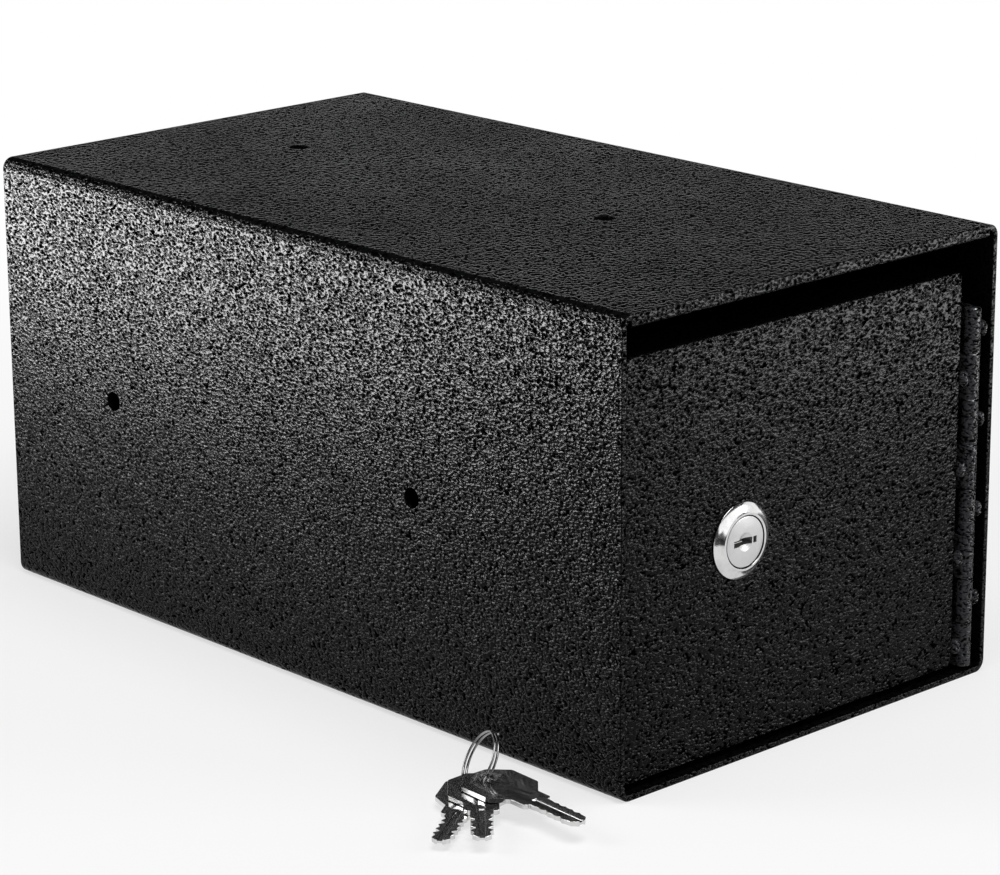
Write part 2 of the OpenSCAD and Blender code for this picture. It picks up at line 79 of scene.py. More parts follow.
def makeCamera(s):
    az = math.radians(s["azimuth"])
    el = math.radians(s["elevation"])
    forward = Vector((math.sin(az) * math.cos(el), math.cos(az) * math.cos(el), -math.sin(el)))
    right = Vector((math.cos(az), -math.sin(az), 0))
    up = right.cross(forward)
    tilt = math.radians(s["roll"])
    across = right * math.cos(tilt) + up * math.sin(tilt)
    upright = up * math.cos(tilt) - right * math.sin(tilt)
    data = bpy.data.cameras.new("camera")
    data.lens = s["lens"]
    data.sensor_width = s["sensor"]
    data.clip_start = s["nearest"]
    data.clip_end = s["furthest"]
    camera = bpy.data.objects.new("camera", data)
    camera.matrix_world = Matrix((across, upright, -forward)).transposed().to_4x4()
    camera.location = s["position"]
    bpy.context.scene.collection.objects.link(camera)
    bpy.context.scene.camera = camera


makeCamera(cameraSettings)
print("camera placed")


class Wire:
    # a shader socket whose sums and products add Math nodes
    def __init__(self, finish, socket):
        self.finish = finish
        self.socket = socket

    def maths(self, operation, first, second=None):
        values = {0: first} if second is None else {0: first, 1: second}
        return self.finish.add("Math", {"operation": operation}, values)

    def __add__(self, other):
        return self.maths("ADD", self, other)

    def __radd__(self, other):
        return self.maths("ADD", other, self)

    def __sub__(self, other):
        return self.maths("SUBTRACT", self, other)

    def __rsub__(self, other):
        return self.maths("SUBTRACT", other, self)

    def __mul__(self, other):
        return self.maths("MULTIPLY", self, other)

    def __rmul__(self, other):
        return self.maths("MULTIPLY", other, self)

    def sine(self):
        return self.maths("SINE", self)

    def most(self, other):
        return self.maths("MAXIMUM", self, other)


class Finish:
    # a material or a world, with every node added by one method
    def __init__(self, name, kind="materials"):
        self.holder = getattr(bpy.data, kind).new(name)
        self.holder.use_nodes = True
        self.tree = self.holder.node_tree
        self.tree.nodes.clear()

    def add(self, kind, settings=None, sockets=None, out=0):
        node = self.tree.nodes.new("ShaderNode" + kind)
        for key, value in (settings or {}).items():
            setattr(node, key, value)
        for key, value in (sockets or {}).items():
            if isinstance(value, Wire):
                self.tree.links.new(value.socket, node.inputs[key])
            else:
                node.inputs[key].default_value = value
        return Wire(self, node.outputs[out]) if node.outputs else None

    def place(self):
        return self.add("TexCoord", out="Object")

    def vector(self, operation, first, second=None, out=0):
        values = {0: first} if second is None else {0: first, 1: second}
        return self.add("VectorMath", {"operation": operation}, values, out)

    def grain(self, vector, scale, detail=2.0, rough=0.5, distortion=0.0, out=0):
        sockets = {"Vector": vector, "Scale": scale, "Detail": detail}
        sockets.update({"Roughness": rough, "Distortion": distortion})
        return self.add("TexNoise", None, sockets, out)

    def span(self, value, low, high, toLow=0.0, toHigh=1.0):
        settings = {"interpolation_type": "SMOOTHSTEP", "clamp": True}
        sockets = {"Value": value, "From Min": low, "From Max": high, "To Min": toLow, "To Max": toHigh}
        return self.add("MapRange", settings, sockets)

    def mix(self, mask, first, second):
        # the second end is a colour, and the first a colour or another mix
        start = first if isinstance(first, Wire) else (*first, 1)
        return self.add("Mix", {"data_type": "RGBA"}, {0: mask, 6: start, 7: (*second, 1)}, out=2)

    def bump(self, height, depth, strength=1.0):
        return self.add("Bump", None, {"Strength": strength, "Distance": depth, "Height": height})

    def shade(self, sockets):
        return self.close(self.add("BsdfPrincipled", None, sockets))

    def ray(self, kind):
        return self.add("LightPath", out="Is %s Ray" % kind)

    def seen(self):
        # one for what the camera sees, also by way of metal or glass
        return self.ray("Camera").most(self.ray("Glossy")).most(self.ray("Transmission"))

    def close(self, surface, end="OutputMaterial"):
        self.add(end, None, {"Surface": surface})
        return self.holder


# black powder coat: glossy rounded lumps that merge into worms; the narrow valleys between them are painted
# darker and without gloss, as painted shade in the creases
# a scale counts features in a metre, and squash makes them lie flatter on upright sheets
coatSettings = {
    "valleyShade": (0.0007, 0.0007, 0.0008),
    "crest": (0.0028, 0.0028, 0.0031),
    "lumps": 740.0,
    "squash": (1.0, 1.0, 1.6),
    "drift": 0.9,
    "warp": 0.0007,
    "soften": 0.25,
    "winding": 0.95,
    "wormEdges": (0.25, 0.85),
    "hollow": 0.44,
    "ridge": 0.85,
    "merge": 0.75,
    "fine": 2600.0,
    "fineRise": 0.006,
    "patches": 26.0,
    "low": 0.42,
    "flat": 0.65,
    "shadeBelow": 0.445,
    "glossAbove": 0.53,
    "crown": 1.4,
    "depth": 0.00017,
    "crestRough": 0.11,
    "patchRough": 0.08,
    "fineRough": 0.06,
    "valleyRough": 0.7,
    "specular": 0.04,
}


# the hinge wears a copy of the coat with a finer grain, whose grey crests are painted light, standing in
# for the light on the hinge barrel
# endGap is how far its knuckles' ends are drawn in, in millimetres
hingeLitCoatSettings = {
    **coatSettings,
    "valleyShade": (0.002, 0.002, 0.0022),
    "crest": (0.036, 0.036, 0.040),
    "lumps": 900.0,
    "specular": 0.12,
    "endGap": 0.12,
}


def makeCoat(name, s):
    f = Finish(name)
    where = f.vector("MULTIPLY", f.place(), s["squash"])
    drift = f.grain(where, s["lumps"] * s["drift"], detail=1.0, out="Color")
    push = f.vector("MULTIPLY", f.vector("SUBTRACT", drift, (0.5,) * 3), (s["warp"],) * 3)
    sockets = {"Vector": f.vector("ADD", where, push), "Scale": s["lumps"], "Smoothness": s["soften"]}
    cells = f.add("TexVoronoi", {"feature": "SMOOTH_F1"}, sockets, out="Distance")
    winding = f.grain(where, s["lumps"] * s["winding"], detail=0.6, distortion=0.35)
    worms = f.span(winding, *s["wormEdges"], s["hollow"], s["ridge"])
    fine = f.grain(where, s["fine"], rough=0.6)
    patch = f.grain(where, s["patches"])
    height = (1 - cells) * (1 - s["merge"]) + worms * s["merge"] + fine * s["fineRise"]
    raised = f.span(height, s["low"], s["flat"])
    normal = f.bump(raised + height * s["crown"], s["depth"])
    # the crests take the crest colour and the valleys the darker valley colour, which is painted shade
    glossy = f.add("BsdfPrincipled", None, {
        "Base Color": f.mix(raised, s["valleyShade"], s["crest"]),
        "Roughness": s["crestRough"] + (patch - 0.5) * s["patchRough"] + (fine - 0.5) * s["fineRough"],
        "Specular IOR Level": s["specular"],
        "Normal": normal,
    })
    # the valleys' shader has no gloss, so the creases read as painted shade
    dull = f.add("BsdfPrincipled", None, {
        "Base Color": (*s["valleyShade"], 1),
        "Roughness": s["valleyRough"],
        "Specular IOR Level": 0.0,
        "Normal": normal,
    })
    # this mask lays the painted shade into the valleys
    mask = f.span(height, s["shadeBelow"], s["glossAbove"])
    return f.close(f.add("MixShader", None, {0: mask, 1: dull, 2: glossy}))


# nickel plate on the keys and the lock's bezel: bright, with hairlines and faint clouding
nickelSettings = {
    "light": (0.68, 0.68, 0.675),
    "cloud": (0.57, 0.57, 0.57),
    "clouds": 240.0,
    "cloudEdges": (0.35, 0.7),
    "hairlines": 3600.0,
    "along": (1.0, 0.06, 1.0),
    "rough": 0.10,
    "cloudRough": 0.10,
    "hairRough": 0.10,
    "depth": 0.00001,
}
# the ring's wire is worn and greyer
ringNickelSettings = {**nickelSettings, "light": (0.34, 0.34, 0.34), "cloud": (0.22, 0.22, 0.22)}


def makeNickel(name, s):
    f = Finish(name)
    where = f.place()
    cloud = f.span(f.grain(where, s["clouds"], detail=3.0, rough=0.6), *s["cloudEdges"])
    lines = f.grain(f.vector("MULTIPLY", where, s["along"]), s["hairlines"], rough=0.7)
    return f.shade({
        "Base Color": f.mix(cloud, s["light"], s["cloud"]),
        "Metallic": 1.0,
        "Roughness": s["rough"] + cloud * s["cloudRough"] + (lines - 0.5) * s["hairRough"],
        "Normal": f.bump(lines, s["depth"], strength=0.5),
    })


# satin nickel on the plug's face, turned on a lathe
turnedSettings = {
    "light": (0.64, 0.64, 0.64),
    "dull": (0.57, 0.57, 0.57),
    "clouds": 420.0,
    "rings": 14000.0,
    "rough": 0.42,
    "cloudRough": 0.16,
    "depth": 0.000006,
}


def makeTurned(name, s, centre):
    f = Finish(name)
    where = f.place()
    flat = f.vector("MULTIPLY", f.vector("SUBTRACT", where, centre), (1.0, 0.0, 1.0))
    radius = f.vector("LENGTH", flat, out="Value")
    cloud = f.grain(where, s["clouds"], detail=3.0, rough=0.6)
    return f.shade({
        "Base Color": f.mix(cloud, s["light"], s["dull"]),
        "Metallic": 1.0,
        "Roughness": s["rough"] + (cloud - 0.5) * s["cloudRough"],
        "Normal": f.bump((radius * s["rings"]).sine() + cloud, s["depth"]),
    })


# bright zinc plate: spangled, slightly blue, a little iridescent where it is thick
zincSettings = {
    "light": (0.64, 0.66, 0.69),
    "dull": (0.46, 0.48, 0.49),
    "warm": (0.66, 0.63, 0.52),
    "spangles": 160.0,
    "spangleEdges": (0.3, 0.7),
    "streaks": 2400.0,
    "along": (1.0, 1.0, 0.08),
    "tints": 60.0,
    "tintSpan": (0.52, 0.72, 0.0, 0.55),
    "rough": 0.30,
    "spangleRough": 0.25,
    "streakRough": 0.12,
    "spangleRise": 0.6,
    "depth": 0.00002,
}


def makeZinc(name, s):
    f = Finish(name)
    where = f.place()
    spangle = f.grain(where, s["spangles"], detail=3.0, rough=0.6, distortion=0.4)
    streak = f.grain(f.vector("MULTIPLY", where, s["along"]), s["streaks"], rough=0.6)
    tint = f.span(f.grain(where, s["tints"], detail=1.0), *s["tintSpan"])
    base = f.mix(f.span(spangle, *s["spangleEdges"]), s["light"], s["dull"])
    return f.shade({
        "Base Color": f.mix(tint, base, s["warm"]),
        "Metallic": 1.0,
        "Roughness": s["rough"] + (spangle - 0.5) * s["spangleRough"] + (streak - 0.5) * s["streakRough"],
        "Normal": f.bump(streak + spangle * s["spangleRise"], s["depth"]),
    })


# stamped brass
brassSettings = {
    "light": (0.78, 0.60, 0.30),
    "dark": (0.55, 0.39, 0.17),
    "stains": 700.0,
    "stainEdges": (0.4, 0.75),
    "rough": 0.28,
    "stainRough": 0.15,
    "depth": 0.00001,
}


def makeBrass(name, s):
    f = Finish(name)
    stain = f.grain(f.place(), s["stains"], detail=3.0, rough=0.6)
    return f.shade({
        "Base Color": f.mix(f.span(stain, *s["stainEdges"]), s["light"], s["dark"]),
        "Metallic": 1.0,
        "Roughness": s["rough"] + stain * s["stainRough"],
        "Normal": f.bump(stain, s["depth"]),
    })


# painted shade: a near-black finish laid on the keyway's walls and in the gap round the plug, where shade
# falls
paintedShadeSettings = {
    "dark": (0.001, 0.001, 0.001),
    "light": (0.004, 0.004, 0.004),
    "mottles": 900.0,
    "rough": 0.7,
    "mottleRough": 0.15,
    "depth": 0.00001,
}


def makePaintedShade(name, s):
    f = Finish(name)
    mottle = f.grain(f.place(), s["mottles"], detail=3.0, rough=0.6)
    return f.shade({
        "Base Color": f.mix(mottle, s["dark"], s["light"]),
        "Roughness": s["rough"] + mottle * s["mottleRough"],
        "Specular IOR Level": 0.0,
        "Normal": f.bump(mottle, s["depth"]),
    })


lockAt = {"x": -31.0, "face": -150.0, "z": 71.0}
finishes = {
    "paintedShade": makePaintedShade("paintedShade", paintedShadeSettings),
    "black_coat": makeCoat("powderCoat", coatSettings),
    "hinge_lit_coat": makeCoat("hingeLitCoat", hingeLitCoatSettings),
    "nickel": makeNickel("nickelPlate", nickelSettings),
    "ring_nickel": makeNickel("ringNickel", ringNickelSettings),
    "turned": makeTurned("turnedNickel", turnedSettings, (lockAt["x"] * mm, 0.0, lockAt["z"] * mm)),
    "zinc": makeZinc("zincPlate", zincSettings),
    "brass": makeBrass("stampedBrass", brassSettings),
}
print("finishes made:", len(finishes))


# weld joins near points, flatDegrees joins level faces, and edges sharper than cutDegrees are rounded
meshSettings = {"weld": 0.000002, "flatDegrees": 0.4, "cutDegrees": 40.0, "endNormal": 0.99}


def newPiece(name, points, faces, finish, smooth=35.0):
    mesh = bpy.data.meshes.new(name)
    mesh.from_pydata([tuple(v * mm for v in p) for p in points], [], faces)
    return pieceFromMesh(name, mesh, finish, smooth)


def pieceFromMesh(name, mesh, finish, smooth=35.0):
    work = bmesh.new()
    work.from_mesh(mesh)
    bmesh.ops.recalc_face_normals(work, faces=work.faces)
    for face in work.faces:
        face.smooth = True
    work.to_mesh(mesh)
    work.free()
    mesh.set_sharp_from_angle(angle=math.radians(smooth))
    piece = bpy.data.objects.new(name, mesh)
    bpy.context.scene.collection.objects.link(piece)
    mesh.materials.clear()
    mesh.materials.append(finishes[finish])
    return piece


def dress(piece, node):
    # the piece stands for the node and moves with the node's own body
    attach(piece, bodyOf[node])
    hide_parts(node)


def baked(piece):
    # the piece with its modifiers turned into plain mesh
    graph = bpy.context.evaluated_depsgraph_get()
    mesh = bpy.data.meshes.new_from_object(piece.evaluated_get(graph))
    piece.modifiers.clear()
    piece.data = mesh


def rounded(piece, width, segments, degrees):
    # a rounding of the edges sharper than the angle
    bevel = piece.modifiers.new("roundedEdges", "BEVEL")
    bevel.width = width * mm
    bevel.segments = segments
    bevel.limit_method = "ANGLE"
    bevel.angle_limit = math.radians(degrees)
    return bevel


def weldedWork(node):
    work = bmesh.new()
    work.from_mesh(nodes[node].data)
    bmesh.ops.remove_doubles(work, verts=work.verts, dist=meshSettings["weld"])
    return work


def shortened(work, amount):
    # pulls the level end faces in, so that the gaps between the knuckles read as dark lines
    moves = {}
    for face in work.faces:
        if abs(face.normal.z) > meshSettings["endNormal"]:
            for vert in face.verts:
                moves[vert] = -math.copysign(amount * mm, face.normal.z)
    for vert, move in moves.items():
        vert.co.z += move


def softened(node, name, finish, width, segments):
    # the node's sheet or block, welded, with its cut edges rounded over by the coat
    work = weldedWork(node)
    if finish == "hinge_lit_coat":
        shortened(work, hingeLitCoatSettings["endGap"])
    flatWithin = math.radians(meshSettings["flatDegrees"])
    bmesh.ops.dissolve_limit(work, angle_limit=flatWithin, verts=work.verts, edges=work.edges)
    mesh = bpy.data.meshes.new(name)
    work.to_mesh(mesh)
    work.free()
    piece = pieceFromMesh(name, mesh, finish)
    rounded(piece, width, segments, meshSettings["cutDegrees"]).miter_outer = "MITER_ARC"
    piece.modifiers.new("evenNormals", "WEIGHTED_NORMAL").keep_sharp = True
    baked(piece)
    return piece


def rings(rows, closedRows, closedRing=True):
    # faces between rows of points that each hold the same count
    count = len(rows[0])
    faces = []
    for a in range(len(rows) - (0 if closedRows else 1)):
        b = (a + 1) % len(rows)
        for i in range(count if closedRing else count - 1):
            j = (i + 1) % count
            faces.append((a * count + i, a * count + j, b * count + j, b * count + i))
    return faces


def joined(rows):
    return [p for row in rows for p in row]


def addTube(points, faces, rows):
    # adds rows of points as a tube that is closed at both ends
    start = len(points)
    count = len(rows[0])
    last = start + (len(rows) - 1) * count
    points += joined(rows)
    faces += [tuple(v + start for v in face) for face in rings(rows, False)]
    faces.append(tuple(start + i for i in range(count)))
    faces.append(tuple(last + i for i in range(count)))


def boxFaces():
    # a box whose first four points are one end and whose last four are the other
    return [(0, 1, 2, 3), (4, 5, 6, 7)] + [(i, (i + 1) % 4, (i + 1) % 4 + 4, i + 4) for i in range(4)]


def roundCorners(corners, steps):
    # corners are (x, y, radius), and each becomes a short arc
    out = []
    for i, (x, y, radius) in enumerate(corners):
        here = Vector((x, y))
        before = Vector(corners[i - 1][:2]) - here
        after = Vector(corners[(i + 1) % len(corners)][:2]) - here
        reach = min(radius / math.tan(before.angle(after) / 2), before.length * 0.48, after.length * 0.48)
        start = here + before.normalized() * reach
        end = here + after.normalized() * reach
        for k in range(steps + 1):
            t = k / steps
            point = start * (1 - t) ** 2 + here * 2 * t * (1 - t) + end * t ** 2
            out.append((point.x, point.y))
    return out


# bent sheets and plates that keep the shape of their nodes: piece, finish, rounding, its segments
sheetSettings = {
    "box_sleeve": ("boxSleeve", "black_coat", 0.5, 3),
    "back_panel": ("backPanel", "black_coat", 0.4, 2),
    "baffle_plate": ("bafflePlate", "black_coat", 0.3, 2),
    "door_panel": ("doorPanel", "black_coat", 0.5, 3),
    # the hinge leaves take the hinge's copy of the coat, grey with painted light
    "wall_hinge_leaf": ("wallHingeLeaf", "hinge_lit_coat", 0.3, 2),
    "door_hinge_leaf": ("doorHingeLeaf", "hinge_lit_coat", 0.3, 2),
    "strike_bracket": ("strikeBracket", "zinc", 0.4, 3),
    "lock_washer": ("lockWasher", "zinc", 0.15, 2),
    "stop_washer": ("stopWasher", "zinc", 0.12, 2),
    "cam": ("camPlate", "zinc", 0.25, 2),
    "cam_washer": ("camWasher", "zinc", 0.12, 2),
    "lock_wafers": ("lockWafers", "brass", 0.05, 1),
}
for node, (name, finish, width, segments) in sheetSettings.items():
    dress(softened(node, name, finish, width, segments), node)
print("sheets softened:", len(sheetSettings))


# weld beads, laid in overlapping ripples
beadSettings = {
    "ripple": 1.15, "rise": 0.09, "body": 0.93, "lumps": 0.16, "lumpScale": 0.9, "seedStep": 7.3,
    "least": 0.02, "widest": 1.5, "rounds": 20, "stepsPerMm": 5, "midHeight": 76, "hingeShare": 0.6,
}


def beadRows(centre, along, length, radius, seed, s):
    along = Vector(along).normalized()
    side = along.orthogonal().normalized()
    third = along.cross(side)
    steps = int(length * s["stepsPerMm"])
    rows = []
    for i in range(steps + 1):
        t = -1 + 2 * i / steps
        place = t * length / 2
        bulge = radius * (1 - abs(t) ** 3) ** 0.5
        wave = (place / s["ripple"]) % 1.0
        row = []
        for k in range(s["rounds"]):
            angle = 2 * math.pi * k / s["rounds"]
            out = side * math.cos(angle) + third * math.sin(angle)
            spot = Vector(centre) + along * place + out * radius
            lump = noise.noise(spot * s["lumpScale"] + Vector((seed, 0, 0))) * s["lumps"]
            reach = max(bulge * (s["body"] + s["rise"] * (wave - 0.5) + lump), s["least"])
            row.append(Vector(centre) + along * place + out * min(reach, radius))
        rows.append(row)
    return rows


def makeBeads(name, node, beads, s):
    points = []
    faces = []
    for k, (centre, along, length, radius) in enumerate(beads):
        addTube(points, faces, beadRows(centre, along, length, radius, s["seedStep"] * k, s))
    # the hinge welds take the hinge's copy of the coat, grey with painted light
    finish = "hinge_lit_coat" if "Hinge" in name else "black_coat"
    dress(newPiece(name, points, faces, finish, 60.0), node)


def solidBoxes(node):
    # lowest and highest corner of each separate solid of a node, in millimetres
    work = weldedWork(node)
    left = set(work.verts)
    boxes = []
    while left:
        group = [left.pop()]
        low = Vector(group[0].co)
        high = Vector(group[0].co)
        while group:
            vert = group.pop()
            low = Vector(map(min, low, vert.co))
            high = Vector(map(max, high, vert.co))
            for edge in vert.link_edges:
                other = edge.other_vert(vert)
                if other in left:
                    left.remove(other)
                    group.append(other)
        boxes.append((low / mm, high / mm))
    work.free()
    return sorted(boxes, key=lambda b: tuple(b[0]))


# the domed ends of the pin are given as shares of its radius, each with its height
hingeSettings = {
    "x": 77.1, "y": -149.7, "beadOut": 4.35, "beadForward": -0.4, "beadRadius": 1.9, "pin": 1.6,
    "pinSides": 32, "dome": ((0.03125, 0), (0.6, 0.06), (0.88, 0.22), (1.0, 0.55)),
}


def hingeBeads(node, side, s):
    beads = []
    for low, high in solidBoxes(node):
        centre = (s["x"] + side * s["beadOut"], s["y"] + s["beadForward"], (low.z + high.z) / 2)
        length = (high.z - low.z) * beadSettings["hingeShare"]
        beads.append((centre, (0, 0, 1), length, s["beadRadius"]))
    return beads


def cornerBeads(node, s):
    # a bead lies along its box's longest side, on the edge where two sheets meet
    beads = []
    for low, high in solidBoxes(node):
        size = high - low
        axis = max(range(3), key=lambda i: size[i])
        along = Vector((0, 0, 0))
        along[axis] = 1
        radius = sorted(size)[1]
        centre = (low + high) / 2
        outer = low.x if centre.x < 0 else high.x
        if node == "back_weld_beads":
            centre.y = low.y
            if axis == 2:
                centre.x = outer
            else:
                centre.z = low.z if centre.z < s["midHeight"] else high.z
        elif axis == 2:
            centre.x = outer
            centre.y = low.y
        else:
            centre.x = outer
            along = Vector((0, size.y, -(size.z - radius)))
        beads.append((centre, along, max(size), min(radius, s["widest"])))
    return beads


hingeWelds = {"wallHingeWelds": ("wall_weld_beads", 1), "doorHingeWelds": ("door_weld_beads", -1)}
cornerWelds = {"rearPanelWelds": "back_weld_beads", "innerWelds": "inner_weld_beads"}
for name, (node, side) in hingeWelds.items():
    makeBeads(name, node, hingeBeads(node, side, hingeSettings), beadSettings)
for name, node in cornerWelds.items():
    makeBeads(name, node, cornerBeads(node, beadSettings), beadSettings)
print("weld beads laid")


# turned pieces: a profile of (radius, height) round an axis, closed at both ends
def turned(profile, steps, place):
    points = []
    faces = []
    rows = [[place(r, 2 * math.pi * k / steps, h) for k in range(steps)] for r, h in profile]
    addTube(points, faces, rows)
    return points, faces


def onLock(radius, angle, height):
    # heights count outwards from the door's face
    across = radius * math.cos(angle)
    return (lockAt["x"] + across, lockAt["face"] - height, lockAt["z"] + radius * math.sin(angle))


def makePin(s):
    def onPin(radius, angle, height):
        return (s["x"] + radius * math.cos(angle), s["y"] + radius * math.sin(angle), height)

    low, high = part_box("hinge_pin")
    bottom, top = low.z / mm, high.z / mm
    dome = [(s["pin"] * share, rise) for share, rise in s["dome"]]
    profile = [(a, bottom + h) for a, h in dome] + [(a, top - h) for a, h in reversed(dome)]
    points, faces = turned(profile, s["pinSides"], onPin)
    dress(newPiece("hingePin", points, faces, "zinc"), "hinge_pin")


makePin(hingeSettings)


# lock body: bezel, threaded barrel with two flats, and the lug that stops the washer's tab
lockSettings = {
    "bezel": 12.3, "rim": 0.5, "front": 9.3, "height": 2.3, "seat": 0.24, "headBore": 8.5, "bore": 6.36,
    "thread": 9.5, "threadDepth": 0.5, "threadCrest": 1.25, "pitch": 1.0, "runIn": 1.5, "runOut": 0.8,
    "flats": 8.0, "depth": 20.0, "steps": 96, "rowsPerMm": 6, "gapShadeOut": 0.02, "gapShadeIn": 0.15,
}
# where the lug starts and ends round the barrel, in degrees, its inner radius and its two heights
lugSettings = {"sweep": (107, 343), "steps": 60, "inner": 7.6, "shy": 0.05, "heights": (-19.9, -20.9)}


def cutByFlats(reach, angle, s):
    return min(reach, s["flats"] / max(abs(math.cos(angle)), 0.001))


def lockRim(s):
    # (radius, height, 1 where the thread starts), with the corners rounded by a few hundredths
    front, height, rim, bezel, head = s["front"], s["height"], s["rim"], s["bezel"], s["headBore"]
    return [
        (s["bore"], -s["depth"], 0), (s["bore"], s["seat"], 0), (head, s["seat"], 0),
        (head, height - 0.1, 0), (head + 0.06, height - 0.02, 0), (head + 0.14, height, 0),
        (front - 0.16, height, 0), (front - 0.06, height - 0.03, 0), (front, height - 0.1, 0),
        (front + (bezel - front) * 0.5, (height + rim) / 2 + 0.06, 0),
        (bezel - 0.1, rim + 0.06, 0), (bezel - 0.02, rim - 0.04, 0), (bezel, rim - 0.14, 0),
        (bezel, 0.1, 0), (bezel - 0.08, 0.0, 0), (s["thread"], 0.0, 1),
    ]


def threadedReach(radius, angle, height, turnShare, s):
    phase = (height / s["pitch"] + turnShare) % 1.0
    crest = min(1.0, abs(phase - 0.5) * 2 * s["threadCrest"])
    fade = min(1.0, -height / s["runIn"], (height + s["depth"]) / s["runOut"]) if height < 0 else 0.0
    return cutByFlats(radius - s["threadDepth"] * (1 - crest) * max(fade, 0.0), angle, s)


def lugRows(s, lug):
    first, last = lug["sweep"]
    top, under = lug["heights"]
    inner = lug["inner"]
    rows = []
    for k in range(lug["steps"] + 1):
        angle = math.radians(first + (last - first) * k / lug["steps"])
        outer = cutByFlats(s["thread"], angle, s) - lug["shy"]
        corners = ((inner, top), (outer, top), (outer, under), (inner, under))
        rows.append([onLock(radius, angle, height) for radius, height in corners])
    return rows


def makeLockBody(s, lug):
    steps = s["steps"]
    count = int(s["depth"] * s["rowsPerMm"])
    thread = [(s["thread"], -s["depth"] * (i + 1) / count, 1) for i in range(count)]
    rows = []
    for radius, height, threaded in lockRim(s) + thread:
        row = []
        for k in range(steps):
            angle = 2 * math.pi * k / steps
            reach = threadedReach(radius, angle, height, k / steps, s) if threaded else radius
            row.append(onLock(reach, angle, height))
        rows.append(row)
    points = joined(rows)
    faces = rings(rows, True)
    addTube(points, faces, lugRows(s, lug))
    body = newPiece("lockBody", points, faces, "nickel", 28.0)
    # the gap round the plug is painted near-black, as painted shade
    body.data.materials.append(finishes["paintedShade"])
    nearest = lockAt["face"] - s["height"] + s["gapShadeIn"]
    for face in body.data.polygons:
        off = Vector((face.center.x / mm - lockAt["x"], face.center.z / mm - lockAt["z"])).length
        if off < s["headBore"] + s["gapShadeOut"] and face.center.y / mm > nearest:
            face.material_index = 1
    dress(body, "lock_body")


makeLockBody(lockSettings, lugSettings)


# plug: satin face with a dished centre, a stepped keyway and a square tail
# slot is width, height and depth, and ledge and post are across, up, width, height and how deep they start
plugSettings = {
    "face": 2.15, "head": 8.14, "headLow": 0.3, "shank": 6.3, "depth": 20.0, "tail": 23.5, "square": 8.0,
    "round": ((0, 0.28), (0.08, 0.1), (0.28, 0)), "slot": (10.0, 2.1, 18.0), "clear": 1,
    "ledge": (-3.0, 0.42, 3.6, 0.2, 0.35), "post": (3.55, 0.0, 0.5, 2.2, 0.25), "wardDeep": 4,
    "dishRadius": 3.0, "dishDepth": 0.95, "dishRows": 32, "dishSides": 64, "tailRound": 0.3,
    "keywayShadeIn": 1.3, "keywayShadeOut": 0.05, "keywayShadeEnd": -132.0, "steps": 96,
}


def cutter(points, faces):
    mesh = bpy.data.meshes.new("cutter")
    mesh.from_pydata([tuple(v * mm for v in p) for p in points], [], faces)
    work = bmesh.new()
    work.from_mesh(mesh)
    bmesh.ops.recalc_face_normals(work, faces=work.faces)
    work.to_mesh(mesh)
    work.free()
    tool = bpy.data.objects.new("cutter", mesh)
    bpy.context.scene.collection.objects.link(tool)
    return tool


def lockBlock(width, height, low, high):
    points = []
    for depth in (low, high):
        for a, b in ((-1, -1), (1, -1), (1, 1), (-1, 1)):
            across = a * width / 2
            points.append((lockAt["x"] + across, lockAt["face"] - depth, lockAt["z"] + b * height / 2))
    return points, boxFaces()


def carve(piece, tools):
    for tool in tools:
        cut = piece.modifiers.new("cut", "BOOLEAN")
        cut.operation = "DIFFERENCE"
        cut.solver = "EXACT"
        cut.object = tool
    bpy.context.view_layer.update()
    baked(piece)
    for tool in tools:
        bpy.data.objects.remove(tool)


def dishCutter(s):
    # a sphere that leaves a dish of the wanted width and depth
    ball = (s["dishRadius"] ** 2 + s["dishDepth"] ** 2) / (2 * s["dishDepth"])
    centre = s["face"] + ball - s["dishDepth"]
    arc = []
    for k in range(s["dishRows"] + 1):
        angle = math.pi * k / s["dishRows"]
        arc.append((max(ball * math.sin(angle), 0.001), centre - ball * math.cos(angle)))
    return cutter(*turned(arc, s["dishSides"], onLock))


def makePlug(s):
    head = [(s["shank"], -s["depth"]), (s["shank"], s["headLow"]), (s["head"], s["headLow"])]
    head += [(s["head"] - back, s["face"] - down) for back, down in s["round"]]
    points, faces = turned(head, s["steps"], onLock)
    piece = newPiece("lockPlug", points, faces, "turned", 30.0)
    wide, tall, deep = s["slot"]
    dish = dishCutter(s)
    keyway = cutter(*lockBlock(wide, tall, s["face"] - deep, s["face"] + s["clear"]))
    carve(piece, [dish, keyway])
    # ledge and post that stand in the keyway
    work = bmesh.new()
    work.from_mesh(piece.data)
    for across, up, width, height, sunk in (s["ledge"], s["post"]):
        points, faces = lockBlock(width, height, s["face"] - sunk - s["wardDeep"], s["face"] - sunk)
        corners = [work.verts.new((Vector(p) + Vector((across, 0, up))) * mm) for p in points]
        for face in faces:
            work.faces.new([corners[i] for i in face])
    bmesh.ops.recalc_face_normals(work, faces=work.faces)
    # the keyway's own walls are painted near-black, as painted shade
    nearest = (lockAt["face"] - s["face"] + s["keywayShadeIn"]) * mm
    furthest = s["keywayShadeEnd"] * mm
    widest = (wide / 2 + s["keywayShadeOut"]) * mm
    for face in work.faces:
        middle = face.calc_center_median()
        off = Vector((middle.x - lockAt["x"] * mm, 0, middle.z - lockAt["z"] * mm)).length
        face.material_index = 1 if nearest < middle.y < furthest and off < widest else 0
    work.to_mesh(piece.data)
    work.free()
    piece.data.materials.clear()
    piece.data.materials.append(finishes["turned"])
    piece.data.materials.append(finishes["paintedShade"])
    dress(piece, "lock_plug")


